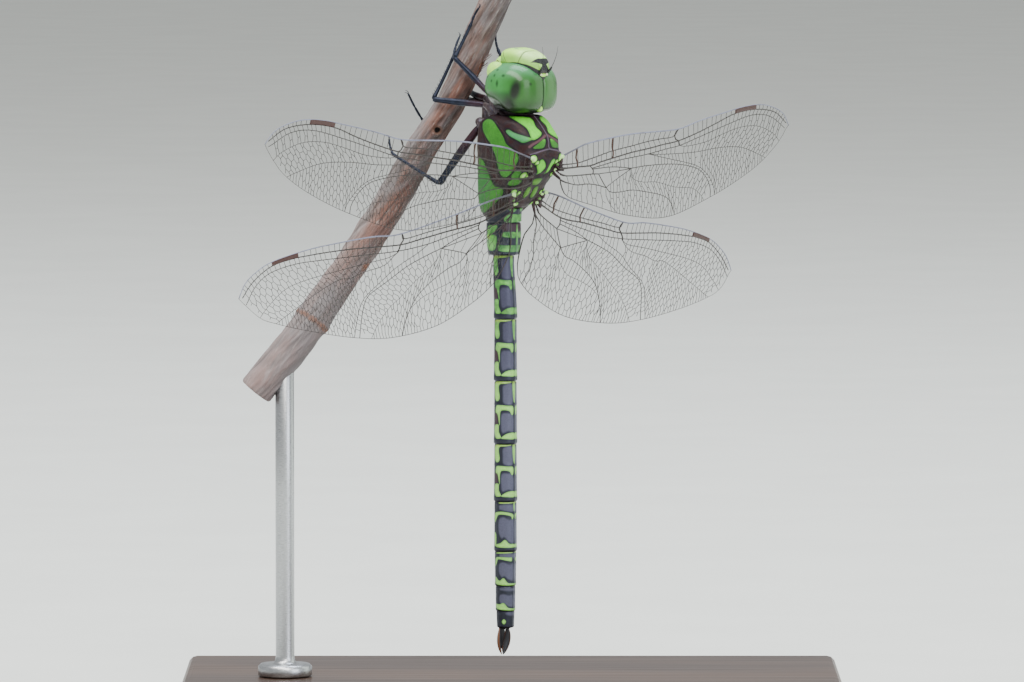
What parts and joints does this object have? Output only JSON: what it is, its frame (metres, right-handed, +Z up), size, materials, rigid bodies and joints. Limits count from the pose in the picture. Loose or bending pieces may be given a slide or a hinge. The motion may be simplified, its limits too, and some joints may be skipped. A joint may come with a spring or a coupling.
{
  "type": "dragonfly on perch",
  "caption": "Life-size model of a male darner dragonfly, green with black and brown markings, hanging head up from a cut length of branch on a display stand.",
  "frame": {"origin": "centre of the flat underside of the display stand's base", "axes": "+Z up, along the hanging body towards the head; -Y towards the viewer, the side the animal's back is turned to, 51 degrees to the right; +X to the viewer's right"},
  "size_m": [0.088, 0.0877, 0.1006],
  "materials": {
    "eye": "glossy green compound eye",
    "face": "smooth yellow-green cuticle with a black T mark",
    "thorax": "green and maroon-brown cuticle with fine hairs",
    "abdomen": "black cuticle with green rings and spots",
    "clasper": "dark brown cuticle",
    "chitin": "black cuticle",
    "wing": "clear membrane with dark veins",
    "bark": "weathered grey-brown bark",
    "base_wood": "dark stained satin wood",
    "rod_steel": "satin steel"
  },
  "bodies": {
    "root": {"head": "chitin", "face": "face", "mouthparts": "face", "eye_left": "eye", "eye_right": "eye", "antenna_left": "chitin", "antenna_right": "chitin", "prothorax": "thorax", "thorax": "thorax", "forewing_left": "wing", "forewing_right": "wing", "hindwing_left": "wing", "hindwing_right": "wing", "femur_fore_left": "chitin", "tibia_fore_left": "chitin", "tarsus_fore_left": "chitin", "femur_fore_right": "chitin", "tibia_fore_right": "chitin", "tarsus_fore_right": "chitin", "femur_mid_left": "chitin", "tibia_mid_left": "chitin", "tarsus_mid_left": "chitin", "femur_mid_right": "chitin", "tibia_mid_right": "chitin", "tarsus_mid_right": "chitin", "femur_hind_left": "chitin", "tibia_hind_left": "chitin", "tarsus_hind_left": "chitin", "femur_hind_right": "chitin", "tibia_hind_right": "chitin", "tarsus_hind_right": "chitin", "abdomen_1": "abdomen", "abdomen_2": "abdomen", "abdomen_3": "abdomen", "abdomen_4": "abdomen", "abdomen_5": "abdomen", "abdomen_6": "abdomen", "abdomen_7": "abdomen", "abdomen_8": "abdomen", "abdomen_9": "abdomen", "abdomen_10": "abdomen", "cercus_left": "clasper", "cercus_right": "clasper", "epiproct": "clasper", "perch": "bark", "stand_base": "base_wood", "stand_rod": "rod_steel"}
  },
  "joints": []
}
